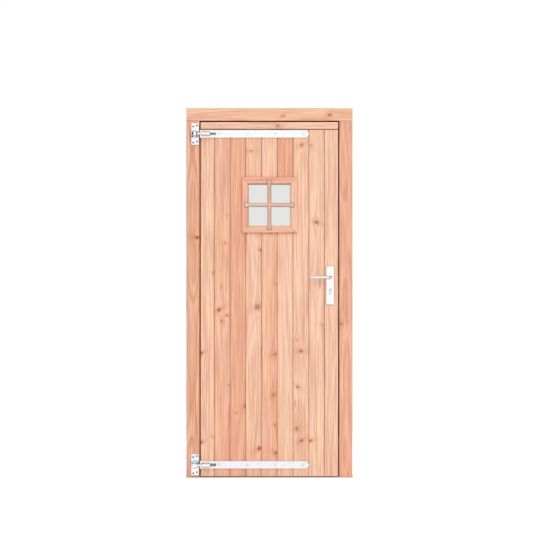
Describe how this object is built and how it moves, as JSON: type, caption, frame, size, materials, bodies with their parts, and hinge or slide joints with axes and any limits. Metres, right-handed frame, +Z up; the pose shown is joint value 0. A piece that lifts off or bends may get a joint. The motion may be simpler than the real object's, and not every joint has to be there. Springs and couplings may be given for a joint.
{
  "type": "boarded single door with frame",
  "caption": "Boarded softwood door in its timber frame, hung on strap hinges with hook plates, with a small barred window, a lever handle and a cylinder lock.",
  "frame": {"origin": "on the outer side face of the hinge post, at the floor, halfway through the depth of the frame", "axes": "+X from the hinge side to the latch side along the width, +Y from the front of the leaf to the back, +Z up"},
  "size_m": [0.9, 0.1754, 2],
  "materials": {
    "frame_timber": "planed, bare",
    "leaf_timber": "planed, bare",
    "window_timber": "planed, bare",
    "zinc_steel": "bright zinc plated",
    "handle_steel": "satin",
    "lock_steel": "satin nickel",
    "pane": "clear"
  },
  "bodies": {
    "frame": {"hinge_post": "frame_timber", "latch_post": "frame_timber", "header": "frame_timber", "hinge_stop": "frame_timber", "latch_stop": "frame_timber", "head_stop": "frame_timber", "sill": "frame_timber", "strike_plate": "lock_steel", "top_hook": "zinc_steel", "bottom_hook": "zinc_steel"},
    "leaf": {"board_1": "leaf_timber", "board_2": "leaf_timber", "board_3": "leaf_timber", "board_4": "leaf_timber", "board_5": "leaf_timber", "board_6": "leaf_timber", "board_7": "leaf_timber", "board_8": "leaf_timber", "board_9": "leaf_timber", "top_strip": "leaf_timber", "hinge_stile": "leaf_timber", "latch_stile": "leaf_timber", "top_rail": "leaf_timber", "lock_rail": "leaf_timber", "bottom_rail": "leaf_timber", "brace": "leaf_timber", "window_trim_top": "window_timber", "window_trim_right": "window_timber", "window_trim_bottom": "window_timber", "window_trim_left": "window_timber", "window_pane": "pane", "window_beads": "window_timber", "window_bars": "window_timber", "top_strap": "zinc_steel", "bottom_strap": "zinc_steel", "top_eye_bolt": "zinc_steel", "bottom_eye_bolt": "zinc_steel", "front_plate": "handle_steel", "back_plate": "handle_steel", "mortise_lock": "lock_steel", "lock_cylinder": "lock_steel"},
    "handle": {"front_lever": "handle_steel", "back_lever": "handle_steel"}
  },
  "joints": [
    {"name": "leaf_swing", "type": "hinge", "parent": "frame", "child": "leaf", "pos_m": [0.048, -0.06, 0], "axis": [0, 0, -1], "range_deg": [0, 170]},
    {"name": "lever_turn", "type": "hinge", "parent": "leaf", "child": "handle", "pos_m": [0.7785, 0, 1.083], "axis": [0, -1, 0], "range_deg": [0, 40], "stiffness_Nm_per_rad": 2, "springref_deg": -34.38}
  ]
}
